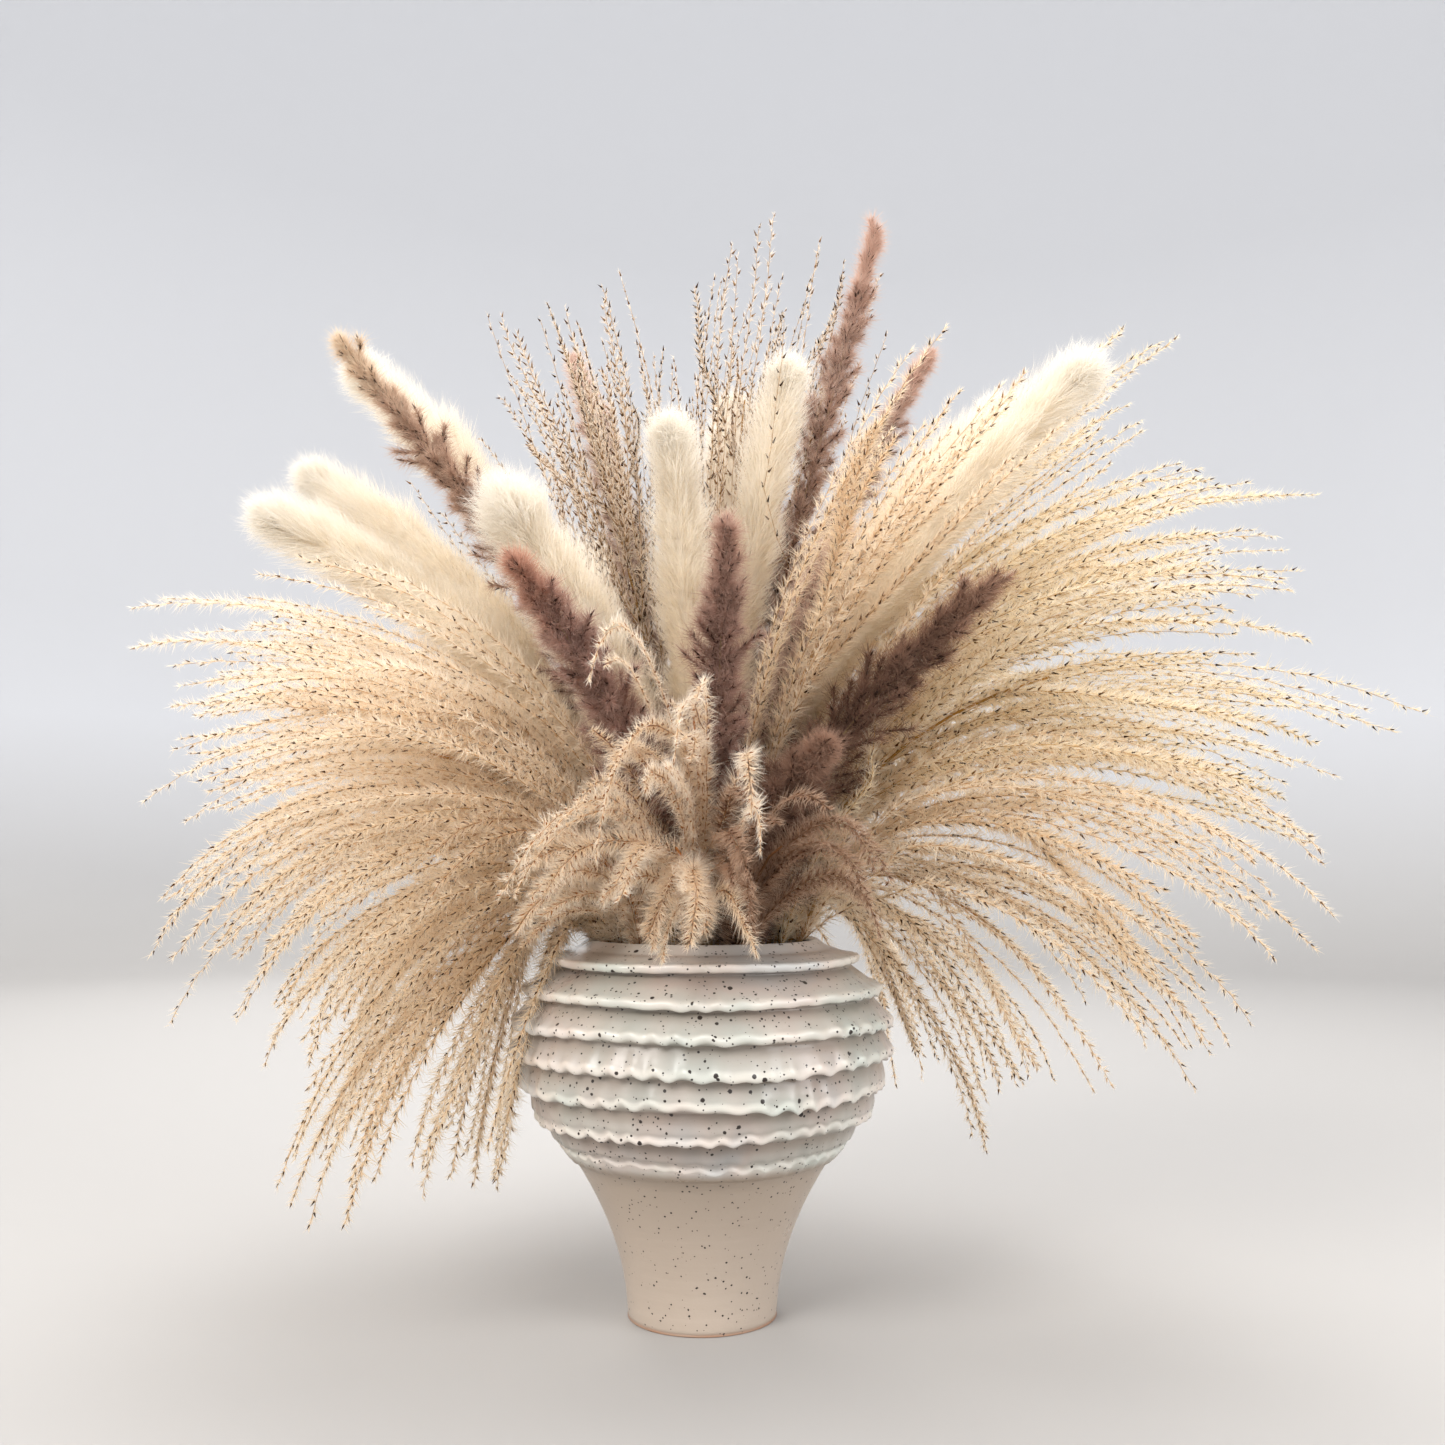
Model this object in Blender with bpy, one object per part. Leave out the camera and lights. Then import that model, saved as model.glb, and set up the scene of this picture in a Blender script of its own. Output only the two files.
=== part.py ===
"""Dried pampas and reed grasses standing in a ribbed stoneware vase.

Metres, +Z up, front towards -Y. The origin is the middle of the flat underside of the vase's foot.
"""

import math

import bmesh
import bpy
from mathutils import Vector

# Vase: sizes that are set by themselves
FOOT_RADIUS = 0.0405
FOOT_HEIGHT = 0.084
FOOT_FLARE = 0.0290
FOOT_CURVE = 1.9
BASE_ROUNDING = 0.0030
BELLY_RADIUS = 0.1045
RIB_COUNT = 7
RIB_PITCH = 0.0165
RIB_DEPTH = 0.0055
RIB_LEDGE = 0.0085
NECK_RISE = 0.0110
MOUTH_RADIUS = 0.0600
LIP_THICKNESS = 0.0060
WALL = 0.0060
FLOOR_THICKNESS = 0.0100
RUFFLE_COUNT = 23
RUFFLE_DEPTH = 0.0018
VASE_SIDES = 4 * RUFFLE_COUNT
SAME_HEIGHT = 0.00001

# Vase: places that follow from those sizes
LOW_RIB_HEIGHT = FOOT_HEIGHT + RIB_LEDGE
TOP_RIB_HEIGHT = LOW_RIB_HEIGHT + (RIB_COUNT - 1) * RIB_PITCH
RIM_HEIGHT = TOP_RIB_HEIGHT + NECK_RISE
BELLY_HEIGHT = LOW_RIB_HEIGHT + 3.5 * RIB_PITCH
SHOULDER_FALL = 4.5 * RIB_PITCH
HIP_FALL = 5.3 * RIB_PITCH

# Stems
STEM_RADIUS = 0.0016
PLUME_SIDES = 8
REED_SIDES = 6
SEAT_GAP = 0.0003
SEAT_CLEARANCE = 0.0025
RIM_CLEARANCE = 0.0035
STEM_SPACING = 0.0100
SPIRAL_TURN = math.radians(80)
CLEAR_PLACE = Vector((0.0, 0.052, 0.0))
CLEAR_PLACE_RADIUS = 0.0150
SPREAD_STEPS = 400

# Heads
HEAD_TIP_SHARE = 0.16
BEND = 0.36
REED_FLATNESS = 0.40

# One row per stem: azimuth from +X, lean from upright and reach of the tip seen from the middle of the mouth,
# lean of the tip itself, length of the head and its half-width. Degrees and metres.
WHITE_PLUMES = [
    (190, 47, 0.345, 66, 0.19, 0.0170),
    (171, 42, 0.375, 58, 0.21, 0.0170),
    (160, 34, 0.435, 50, 0.22, 0.0180),
    (216, 30, 0.280, 44, 0.18, 0.0230),
    (256, 14, 0.290, 20, 0.18, 0.0150),
    (345, 9, 0.335, 14, 0.21, 0.0150),
    (82, 22, 0.385, 32, 0.21, 0.0150),
    (352, 35, 0.395, 50, 0.23, 0.0190),
    (31, 34, 0.415, 48, 0.21, 0.0170),
    (110, 44, 0.375, 60, 0.21, 0.0180),
    (66, 52, 0.345, 68, 0.20, 0.0180),
]
BROWN_PLUMES = [
    (187, 32, 0.405, 40, 0.21, 0.0130),
    (236, 41, 0.255, 52, 0.13, 0.0150),
    (129, 21, 0.410, 30, 0.23, 0.0130),
    (276, 32, 0.250, 36, 0.13, 0.0140),
    (24, 15, 0.460, 14, 0.25, 0.0120),
    (44, 29, 0.455, 36, 0.21, 0.0120),
    (328, 44, 0.265, 52, 0.17, 0.0190),
    (338, 21, 0.250, 30, 0.13, 0.0150),
    (303, 50, 0.160, 66, 0.09, 0.0140),
    (88, 58, 0.310, 74, 0.18, 0.0160),
]
REED_HEADS = [
    (207, 58, 0.310, 84, 0.23, 0.0280),
    (178, 66, 0.355, 98, 0.26, 0.0300),
    (207, 75, 0.290, 118, 0.23, 0.0280),
    (171, 83, 0.320, 130, 0.26, 0.0300),
    (199, 97, 0.250, 158, 0.23, 0.0260),
    (168, 108, 0.255, 168, 0.24, 0.0260),
    (190, 130, 0.225, 176, 0.23, 0.0240),
    (12, 40, 0.455, 55, 0.26, 0.0260),
    (347, 50, 0.380, 78, 0.24, 0.0280),
    (14, 56, 0.460, 88, 0.27, 0.0300),
    (343, 67, 0.350, 104, 0.24, 0.0280),
    (4, 75, 0.400, 116, 0.27, 0.0300),
    (349, 92, 0.305, 146, 0.25, 0.0280),
    (8, 114, 0.270, 170, 0.25, 0.0260),
    (38, 121, 0.230, 176, 0.23, 0.0240),
    (174, 14, 0.430, 17, 0.26, 0.0220),
    (120, 12, 0.410, 15, 0.25, 0.0220),
    (56, 9, 0.470, 12, 0.27, 0.0220),
    (52, 19, 0.470, 28, 0.26, 0.0220),
    (136, 33, 0.445, 46, 0.26, 0.0240),
    (322, 33, 0.365, 46, 0.24, 0.0220),
    (266, 56, 0.225, 140, 0.19, 0.0220),
    (234, 86, 0.165, 150, 0.18, 0.0200),
    (262, 84, 0.165, 150, 0.18, 0.0200),
    (290, 84, 0.170, 146, 0.18, 0.0200),
    (112, 70, 0.335, 118, 0.25, 0.0280),
    (84, 88, 0.290, 142, 0.24, 0.0280),
    (60, 76, 0.325, 124, 0.25, 0.0280),
    (134, 62, 0.345, 94, 0.24, 0.0260),
    (145, 86, 0.300, 140, 0.24, 0.0260),
    (98, 108, 0.235, 172, 0.23, 0.0240),
    (36, 62, 0.370, 100, 0.25, 0.0260),
]


def clear_scene():
    """Removes whatever the scene holds."""
    for old in list(bpy.data.objects):
        bpy.data.objects.remove(old, do_unlink=True)


def material(name, colour, roughness):
    """A Principled material of one colour."""
    made = bpy.data.materials.new(name)
    made.use_nodes = True
    shader = made.node_tree.nodes["Principled BSDF"]
    shader.inputs["Base Color"].default_value = (*colour, 1.0)
    shader.inputs["Roughness"].default_value = roughness
    shader.inputs["Metallic"].default_value = 0.0
    return made


def add_object(name, mesh_data, finish, crease_angle=60):
    """Links a bmesh to the scene as one closed, smooth-shaded object."""
    mesh = bpy.data.meshes.new(name)
    bmesh.ops.recalc_face_normals(mesh_data, faces=mesh_data.faces)
    mesh_data.to_mesh(mesh)
    mesh_data.free()
    mesh.shade_smooth()
    mesh.set_sharp_from_angle(angle=math.radians(crease_angle))
    mesh.materials.append(finish)
    made = bpy.data.objects.new(name, mesh)
    bpy.context.collection.objects.link(made)
    return made


def foot_radius(height):
    """Outer radius of the plain foot at a height."""
    return FOOT_RADIUS + FOOT_FLARE * (height / FOOT_HEIGHT) ** FOOT_CURVE


def belly_radius(height):
    """Radius of the round that the rib edges follow, flatter above its widest height than below."""
    rise = height - BELLY_HEIGHT
    fall = SHOULDER_FALL if rise > 0 else HIP_FALL
    return BELLY_RADIUS * math.sqrt(1 - (rise / fall) ** 2)


def rounded_edge(centre_radius, centre_height, radius, start, end, steps):
    """Points of an arc in the vase's section, from one angle to another in degrees."""
    for k in range(steps + 1):
        angle = math.radians(start + (end - start) * k / steps)
        yield (centre_radius + radius * math.cos(angle), centre_height + radius * math.sin(angle))


def vase_section():
    """The vase's half section as (radius, height), from the underside's middle up the outside and down the inside."""
    outside = [(0.0, 0.0)]
    outside += rounded_edge(FOOT_RADIUS - BASE_ROUNDING, BASE_ROUNDING, BASE_ROUNDING, -90, 0, 2)
    for share in (0.18, 0.36, 0.54, 0.70, 0.85):
        outside.append((foot_radius(share * FOOT_HEIGHT), share * FOOT_HEIGHT))
    outside.append((foot_radius(FOOT_HEIGHT), FOOT_HEIGHT))
    for rib in range(RIB_COUNT):
        edge_height = LOW_RIB_HEIGHT + rib * RIB_PITCH
        edge = belly_radius(edge_height)
        if rib:
            outside.append((edge - RIB_DEPTH, edge_height - RIB_PITCH / 6))
        outside.append((edge, edge_height))
        outside.append((edge - RIB_DEPTH / 5, edge_height + RIB_PITCH / 5))
    lip_radius = MOUTH_RADIUS + LIP_THICKNESS / 2
    lip_height = RIM_HEIGHT - LIP_THICKNESS / 2
    outside.append((lip_radius + LIP_THICKNESS / 2 + NECK_RISE / 3, lip_height - NECK_RISE / 8))
    outside += rounded_edge(lip_radius, lip_height, LIP_THICKNESS / 2, 30, 180, 3)

    inside = []
    top_inner = TOP_RIB_HEIGHT - WALL / 2
    for share in (1.0, 0.8, 0.6, 0.4, 0.2, 0.0):
        height = LOW_RIB_HEIGHT + share * (top_inner - LOW_RIB_HEIGHT)
        inside.append((belly_radius(height) - RIB_DEPTH - WALL, height))
    for share in (0.85, 0.60, 0.35):
        inside.append((foot_radius(share * FOOT_HEIGHT) - WALL, share * FOOT_HEIGHT))
    inside.append((foot_radius(FLOOR_THICKNESS) - WALL, FLOOR_THICKNESS))
    inside.append((0.0, FLOOR_THICKNESS))
    return outside + inside


def ruffle(point):
    """Waves the edge of each rib in and out. Every other rib is half a wave further round."""
    radius = point.co.xy.length
    for rib in range(RIB_COUNT):
        edge_height = LOW_RIB_HEIGHT + rib * RIB_PITCH
        on_edge = abs(point.co.z - edge_height) < SAME_HEIGHT
        if on_edge and radius > belly_radius(edge_height) - RIB_DEPTH / 2:
            turn = math.atan2(point.co.y, point.co.x) * RUFFLE_COUNT + math.pi * rib
            point.co.xy *= 1 + RUFFLE_DEPTH * math.cos(turn) / radius


def make_vase(finish):
    """Turns the section about +Z into one closed hollow body."""
    body = bmesh.new()
    points = [body.verts.new((radius, 0.0, height)) for radius, height in vase_section()]
    edges = [body.edges.new(pair) for pair in zip(points, points[1:])]
    bmesh.ops.spin(
        body,
        geom=points + edges,
        cent=(0, 0, 0),
        axis=(0, 0, 1),
        angle=math.tau,
        steps=VASE_SIDES,
        use_merge=True,
    )
    bmesh.ops.remove_doubles(body, verts=body.verts, dist=1e-6)
    for point in body.verts:
        ruffle(point)
    return add_object("vase", body, finish, crease_angle=50)


def direction(azimuth, lean):
    """Unit vector from an azimuth about +Z and a lean from upright, in degrees."""
    turn = math.radians(azimuth)
    tilt = math.radians(lean)
    return Vector((math.sin(tilt) * math.cos(turn), math.sin(tilt) * math.sin(turn), math.cos(tilt)))


def mouth_places(stems):
    """Where each stem passes the mouth: leaning stems near the rim, upright ones inside, pushed apart evenly."""
    limit = MOUTH_RADIUS - RIM_CLEARANCE - STEM_RADIUS
    places = []
    for azimuth, lean, *_ in stems:
        outward = direction(azimuth, 90)
        places.append(outward * limit * min(1.0, lean / 80))
    for _ in range(SPREAD_STEPS):
        for i, place in enumerate(places):
            push = Vector((0, 0, 0))
            for j, other in enumerate(places):
                gap = place - other
                if i != j and gap.length < STEM_SPACING:
                    push += gap.normalized() * (STEM_SPACING - gap.length) / 2
            away = place - CLEAR_PLACE
            if away.length < CLEAR_PLACE_RADIUS:
                push += away.normalized() * (CLEAR_PLACE_RADIUS - away.length)
            place += push
            if place.length > limit:
                place *= limit / place.length
    return places


def seat_place(mouth_place):
    """Where the same stem stands on the vase's floor: nearer the middle and turned, so that no two stems cross."""
    mouth_limit = MOUTH_RADIUS - RIM_CLEARANCE - STEM_RADIUS
    seat_limit = foot_radius(FLOOR_THICKNESS) - WALL - SEAT_CLEARANCE - STEM_RADIUS
    place = mouth_place * seat_limit / mouth_limit
    turned = Vector((0, 0, FLOOR_THICKNESS + SEAT_GAP))
    turned.x = place.x * math.cos(SPIRAL_TURN) + place.y * math.sin(SPIRAL_TURN)
    turned.y = place.y * math.cos(SPIRAL_TURN) - place.x * math.sin(SPIRAL_TURN)
    return turned


def bezier(points, share):
    """Point of a cubic curve."""
    a, b, c, d = points
    rest = 1 - share
    return a * rest**3 + b * 3 * share * rest**2 + c * 3 * share**2 * rest + d * share**3


def arch(mouth_place, stem):
    """The stem's curve above the mouth, as evenly spaced points."""
    azimuth, lean, reach, tip_lean, *_ = stem
    middle = Vector((0, 0, RIM_HEIGHT))
    start = middle + mouth_place
    tip = middle + direction(azimuth, lean) * reach
    rising = (start - seat_place(mouth_place)).normalized()
    falling = direction(azimuth, tip_lean)
    handles = (start, start + rising * BEND * reach, tip - falling * BEND * reach, tip)
    raw = [bezier(handles, k / 60) for k in range(61)]
    lengths = [0.0]
    for before, after in zip(raw, raw[1:]):
        lengths.append(lengths[-1] + (after - before).length)
    return raw, lengths


def point_at(raw, lengths, distance):
    """Point and direction at a distance along a measured curve."""
    for k in range(1, len(raw)):
        if lengths[k] >= distance or k == len(raw) - 1:
            step = raw[k] - raw[k - 1]
            share = (distance - lengths[k - 1]) / (lengths[k] - lengths[k - 1])
            return raw[k - 1] + step * share, step.normalized()


def white_fullness(share):
    """A white plume: full soon after it starts, with a blunt tip."""
    along = share**0.85
    return math.sqrt(max(0.0, 1 - (2 * along - 1) ** 2)) ** 0.85


def brown_fullness(share):
    """A brown plume: a slim spindle with a pointed tip."""
    return math.sin(math.pi * share**0.75) ** 0.8 if share < 1 else 0.0


def reed_fullness(share):
    """A reed head: a long leaf shape."""
    return math.sin(math.pi * share**0.9) ** 0.7 if share < 1 else 0.0


def stem_rings(mouth_place, stem, fullness, flatness, head_shares):
    """Rings along one stem and its head: centre, direction, half-width and half-thickness."""
    *_, head_length, half_width = stem
    raw, lengths = arch(mouth_place, stem)
    total = lengths[-1]
    head_start = max(0.12 * total, total - head_length)
    seat = seat_place(mouth_place)
    start = raw[0]
    rings = [(seat, Vector((0, 0, 1)), STEM_RADIUS, STEM_RADIUS)]
    rings.append((start, (start - seat).normalized(), STEM_RADIUS, STEM_RADIUS))
    bare_steps = 1 + round(head_start / 0.06)
    for k in range(1, bare_steps):
        centre, along = point_at(raw, lengths, head_start * k / bare_steps)
        rings.append((centre, along, STEM_RADIUS, STEM_RADIUS))
    for share in head_shares:
        centre, along = point_at(raw, lengths, head_start + share * (total - head_start))
        full = max(fullness(share), HEAD_TIP_SHARE if share > 0.5 else 0.0)
        width = max(STEM_RADIUS, half_width * full)
        rings.append((centre, along, width, max(STEM_RADIUS, width * flatness)))
    return rings


def loft(name, rings, sides, azimuth, finish):
    """Joins a row of oval rings into one closed body. Their wide way lies level, across the stem's own azimuth."""
    across = direction(azimuth + 90, 90)
    body = bmesh.new()
    loops = []
    for centre, along, width, thickness in rings:
        wide = (across - along * across.dot(along)).normalized()
        thin = along.cross(wide)
        loop = []
        for k in range(sides):
            turn = math.tau * k / sides
            loop.append(body.verts.new(centre + wide * width * math.cos(turn) + thin * thickness * math.sin(turn)))
        loops.append(loop)
    for lower, upper in zip(loops, loops[1:]):
        for k in range(sides):
            after = (k + 1) % sides
            body.faces.new((lower[k], lower[after], upper[after], upper[k]))
    body.faces.new(reversed(loops[0]))
    body.faces.new(loops[-1])
    return add_object(name, body, finish)


PLUME_SHARES = (0.0, 0.07, 0.20, 0.38, 0.56, 0.74, 0.89, 0.97, 1.0)
REED_SHARES = (0.0, 0.10, 0.24, 0.38, 0.52, 0.66, 0.80, 0.92, 1.0)
KINDS = [
    ("white_plume", WHITE_PLUMES, white_fullness, 1.0, PLUME_SHARES, PLUME_SIDES, (0.86, 0.80, 0.68), 0.90),
    ("brown_plume", BROWN_PLUMES, brown_fullness, 1.0, PLUME_SHARES, PLUME_SIDES, (0.30, 0.17, 0.12), 0.90),
    ("reed_head", REED_HEADS, reed_fullness, REED_FLATNESS, REED_SHARES, REED_SIDES, (0.66, 0.52, 0.34), 0.90),
]


def main():
    clear_scene()
    make_vase(material("speckled_glaze", (0.66, 0.63, 0.58), 0.35))
    stems = [stem for kind in KINDS for stem in kind[1]]
    places = iter(mouth_places(stems))
    for kind, rows, fullness, flatness, shares, sides, colour, roughness in KINDS:
        finish = material(kind, colour, roughness)
        for number, stem in enumerate(rows, 1):
            rings = stem_rings(next(places), stem, fullness, flatness, shares)
            loft(f"{kind}_{number:02d}", rings, sides, stem[0], finish)


main()
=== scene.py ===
"""Dried pampas plumes and reed grass standing in a ribbed, speckled stoneware vase.

Metres, +Z up, front towards -Y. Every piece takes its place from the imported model's own nodes: each plume and reed
head follows the line of the plain envelope that it replaces.
"""

import math

import bpy
import numpy as np
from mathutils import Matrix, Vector


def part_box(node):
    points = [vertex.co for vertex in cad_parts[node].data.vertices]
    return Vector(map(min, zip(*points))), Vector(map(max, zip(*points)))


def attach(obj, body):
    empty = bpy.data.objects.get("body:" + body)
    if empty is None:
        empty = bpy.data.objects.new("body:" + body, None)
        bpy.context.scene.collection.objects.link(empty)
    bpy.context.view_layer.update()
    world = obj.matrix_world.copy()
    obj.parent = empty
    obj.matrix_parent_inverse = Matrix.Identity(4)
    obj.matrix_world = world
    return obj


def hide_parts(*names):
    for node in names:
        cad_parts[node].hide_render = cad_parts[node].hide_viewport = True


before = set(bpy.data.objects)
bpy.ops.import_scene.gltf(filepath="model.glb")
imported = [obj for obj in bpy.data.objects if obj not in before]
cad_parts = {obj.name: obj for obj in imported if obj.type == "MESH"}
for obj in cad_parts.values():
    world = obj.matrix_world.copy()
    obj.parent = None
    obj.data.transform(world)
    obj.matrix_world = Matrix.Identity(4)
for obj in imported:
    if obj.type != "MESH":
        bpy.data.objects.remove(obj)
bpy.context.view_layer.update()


# ---------------------------------------------------------------- camera

EYE = Vector((0.011, -0.80, 0.25))
EYE_TILT = math.radians(5.21)
SENSOR_WIDTH = 36.0
LENS = 35.4
NEAREST, FARTHEST = 0.02, 50.0


def place_camera():
    """Straight in front of the vase, 0.8 m away and a little below the middle of the spray, tilted up."""
    lens = bpy.data.cameras.new("viewpoint")
    lens.sensor_width = SENSOR_WIDTH
    lens.lens = LENS
    lens.clip_start = NEAREST
    lens.clip_end = FARTHEST
    camera = bpy.data.objects.new("viewpoint", lens)
    camera.location = EYE
    camera.rotation_euler = (math.pi / 2 + EYE_TILT, 0, 0)
    bpy.context.collection.objects.link(camera)
    bpy.context.scene.camera = camera


# ---------------------------------------------------------------- lines and shapes


def unit(rows):
    """Each row at length one."""
    return rows / np.maximum(np.linalg.norm(rows, axis=-1, keepdims=True), 1e-12)


class Line:
    """A smooth curve through points, measured by distance, with values carried along it."""

    def __init__(self, points, **carried):
        self.points = np.asarray(points, float)
        self.at = np.concatenate([[0.0], np.cumsum(np.linalg.norm(np.diff(self.points, axis=0), axis=1))])
        self.length = self.at[-1]
        self.slopes = np.gradient(self.points, self.at, axis=0)
        self.carried = carried

    def point(self, distance):
        """Places at distances along the curve."""
        distance = np.clip(distance, 0, self.length)
        k = np.clip(np.searchsorted(self.at, distance, side="right") - 1, 0, len(self.at) - 2)
        span = self.at[k + 1] - self.at[k]
        t = ((distance - self.at[k]) / span)[..., None]
        span = span[..., None]
        return (
            (2 * t**3 - 3 * t**2 + 1) * self.points[k]
            + (t**3 - 2 * t**2 + t) * span * self.slopes[k]
            + (3 * t**2 - 2 * t**3) * self.points[k + 1]
            + (t**3 - t**2) * span * self.slopes[k + 1]
        )

    def heading(self, distance):
        """Unit directions at distances along the curve."""
        step = self.length / 400
        return unit(self.point(distance + step) - self.point(distance - step))

    def value(self, name, distance):
        """A carried value at distances along the curve."""
        rows = np.asarray(self.carried[name], float)
        if rows.ndim == 1:
            return np.interp(distance, self.at, rows)
        return np.stack([np.interp(distance, self.at, column) for column in rows.T], axis=-1)


def rings_of(node, starts):
    """A node's mesh as rings of points, walked outwards from the points that starts() picks."""
    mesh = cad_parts[node].data
    loose = np.empty(len(mesh.vertices) * 3)
    mesh.vertices.foreach_get("co", loose)
    points, same = np.unique(np.round(loose.reshape(-1, 3), 5), axis=0, return_inverse=True)
    same = same.reshape(-1)
    pairs = np.empty(len(mesh.edges) * 2, int)
    mesh.edges.foreach_get("vertices", pairs)
    near = [set() for _ in points]
    for a, b in same[pairs].reshape(-1, 2):
        near[a].add(b)
        near[b].add(a)
    ring = set(np.flatnonzero(starts(points)))
    seen = set(ring)
    rings = []
    while ring:
        rings.append(points[sorted(ring)])
        ring = {b for a in ring for b in near[a]} - seen
        seen |= ring
    return rings


def read_line(node):
    """The centre line of a node's lofted envelope, ring by ring from the bottom, with each ring's half width."""
    rings = rings_of(node, lambda points: points[:, 2] < points[:, 2].min() + 0.0002)
    centres = np.array([r.mean(axis=0) for r in rings])
    line = Line(centres)
    wide, widths = [], []
    for k, corners in enumerate(rings):
        arms = corners - centres[k]
        reach = np.linalg.norm(arms, axis=1)
        across = arms[reach.argmax()] / reach.max()
        if wide and across @ wide[-1] < 0:
            across = -across
        round_ring = reach.min() > 0.9 * reach.max()
        wide.append(wide[-1] if round_ring and wide else across)
        widths.append(reach.max())
    line.carried = {"wide": wide, "width": widths}
    return line


def head_start(line):
    """Where the bare stem ends and the head begins, as a distance along the line."""
    widths = np.asarray(line.carried["width"])
    first = int(np.argmax(widths > widths[0] * 1.15))
    return line.at[max(first - 1, 1)]


def mouth_distance(line):
    """How far along the line it comes out of the vase."""
    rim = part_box("vase")[1].z
    at = np.linspace(0, line.length, 300)
    return at[np.argmax(line.point(at)[:, 2] > rim)]


class Sheaf:
    """Gathers triangles, each corner with a place (u, v) for its colour, and makes them one mesh piece."""

    def __init__(self):
        self.points, self.faces, self.places = [], [], []
        self.count = 0

    def add(self, points, faces, places):
        """Adds points (n, 3), triangles (m, 3) that number those points, and their places (n, 2)."""
        self.points.append(np.asarray(points, float))
        self.faces.append(np.asarray(faces, int) + self.count)
        self.places.append(np.asarray(places, float))
        self.count += len(points)

    def piece(self, name, finish, slot, *nodes):
        """Makes the mesh, gives it its finish, and puts it in place of the nodes."""
        points = np.concatenate(self.points)
        faces = np.concatenate(self.faces)
        places = np.concatenate(self.places)
        mesh = bpy.data.meshes.new(name)
        mesh.vertices.add(len(points))
        mesh.vertices.foreach_set("co", points.ravel())
        mesh.loops.add(faces.size)
        mesh.loops.foreach_set("vertex_index", faces.ravel())
        mesh.polygons.add(len(faces))
        mesh.polygons.foreach_set("loop_start", np.arange(0, faces.size, 3))
        mesh.polygons.foreach_set("loop_total", np.full(len(faces), 3))
        mesh.uv_layers.new(name="OFBake").data.foreach_set("uv", places[faces.ravel()].ravel())
        mesh.update(calc_edges=True)
        mesh.materials.append(finish)
        made = bpy.data.objects.new(name, mesh)
        bpy.context.collection.objects.link(made)
        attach(made, "root")
        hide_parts(*nodes)
        return made


# ---------------------------------------------------------------- tubes and hairs

# Places along u, the way that a piece's colours run: its stem, and then its head.
STEM_PLACE = 0.04
HEAD_PLACE, TIP_PLACE = 0.10, 0.99
HAIR_PLACE = 0.003
# A reed head's u holds three bands instead, for its stalks, husks and silk.
STALK_PLACE, HUSK_PLACE, SILK_PLACE = 0.16, 0.50, 0.84
BAND_SPREAD = 0.10
GOLDEN_TURN = math.radians(137.5)
STEM_SIDES, STEM_STEPS = 6, 16
SIDEWAYS = np.array([[0.3, 0.9, 0.1]])


def along_head(share):
    """The place in the colours at a share of the head's length."""
    return HEAD_PLACE + (TIP_PLACE - HEAD_PLACE) * share


def tubes(paths, radii, sides, across, u, v):
    """Closed tubes along many paths at once, as points, triangles and places.

    paths (s, k, 3), radii, u and v (s, k), and across (s, 3), a direction that its path never runs along.
    """
    count, steps = radii.shape
    headings = unit(np.gradient(paths, axis=1))
    side = unit(np.cross(headings, across[:, None]))
    other = np.cross(headings, side)
    turns = np.linspace(0, math.tau, sides, endpoint=False)[:, None]
    ring = np.cos(turns) * side[:, :, None] + np.sin(turns) * other[:, :, None]
    points = paths[:, :, None] + radii[:, :, None, None] * ring
    k, i = np.meshgrid(np.arange(steps - 1), np.arange(sides), indexing="ij")
    low, low_next = k * sides + i, k * sides + (i + 1) % sides
    high, high_next = low + sides, low_next + sides
    wall = np.stack([low, low_next, high_next, low, high_next, high], axis=-1).reshape(-1, 3)
    fan = np.arange(1, sides - 1)
    top = (steps - 1) * sides
    bottom_cap = np.stack([0 * fan, fan + 1, fan], axis=-1)
    top_cap = np.stack([top + 0 * fan, top + fan, top + fan + 1], axis=-1)
    one = np.concatenate([wall, bottom_cap, top_cap])
    faces = (one + (np.arange(count) * steps * sides)[:, None, None]).reshape(-1, 3)
    places = np.stack([u, v], axis=-1)[:, :, None] + np.zeros((1, 1, sides, 1))
    return points.reshape(-1, 3), faces, places.reshape(-1, 2)


def blades(roots, tips, across, width, bow, u, v):
    """Flat pointed hairs, each in two lengths so that it can bow, as points, triangles and places.

    roots, tips, across and bow (n, 3), width and u (n), and v, the places of the root and the tip.
    """
    count = len(roots)
    half = across * (width / 2)[:, None]
    middle = (roots + tips) / 2 + bow
    points = np.stack([roots - half, roots + half, middle + 0.7 * half, middle - 0.7 * half, tips], axis=1)
    one = np.array([[0, 1, 2], [0, 2, 3], [3, 2, 4]])
    faces = (one + (np.arange(count) * 5)[:, None, None]).reshape(-1, 3)
    shift = np.array([-HAIR_PLACE, HAIR_PLACE, HAIR_PLACE, -HAIR_PLACE, 0])
    share = np.array([0, 0, 0.5, 0.5, 1])
    places = np.stack([u[:, None] + shift, v[0] + (v[1] - v[0]) * share + 0 * u[:, None]], axis=-1)
    return points.reshape(-1, 3), faces, places.reshape(-1, 2)


def spines(roots, tips, across, width, u, v):
    """Straight hairs of one triangle each, as points, triangles and places."""
    count = len(roots)
    half = across * (width / 2)[:, None]
    points = np.stack([roots - half, roots + half, tips], axis=1)
    faces = np.arange(3 * count).reshape(-1, 3)
    shift = np.array([-HAIR_PLACE, HAIR_PLACE, 0])
    share = np.array([0, 0, 1])
    places = np.stack([u[:, None] + shift, v[0] + (v[1] - v[0]) * share + 0 * u[:, None]], axis=-1)
    return points.reshape(-1, 3), faces, places.reshape(-1, 2)


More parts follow.
